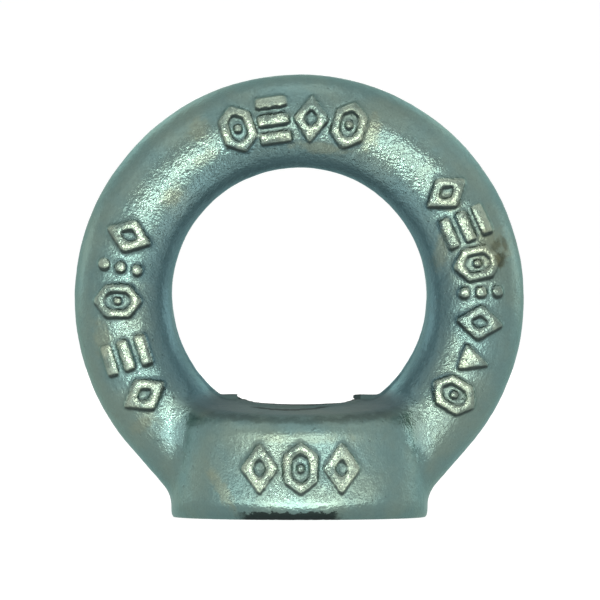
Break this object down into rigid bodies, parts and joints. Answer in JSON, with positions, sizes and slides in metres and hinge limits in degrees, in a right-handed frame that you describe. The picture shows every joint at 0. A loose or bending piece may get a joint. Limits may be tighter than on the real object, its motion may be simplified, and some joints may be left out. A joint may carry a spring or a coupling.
{
  "type": "lifting eye nut",
  "caption": "Forged steel lifting eye nut: a round ring on a short round collar that is tapped through and faced flat underneath.",
  "frame": {"origin": "centre of the bearing face, on the axis of the thread", "axes": "+Z along the thread's axis from the bearing face up through the eye, ring in the XZ plane, +Y through the eye towards the back"},
  "size_m": [0.072, 0.0412, 0.071],
  "materials": {
    "zinc_plated_steel": "drop forged steel, shot blasted and zinc plated, blue-green grey, fine satin grain"
  },
  "bodies": {
    "root": {"eye_nut": "zinc_plated_steel"}
  },
  "joints": []
}
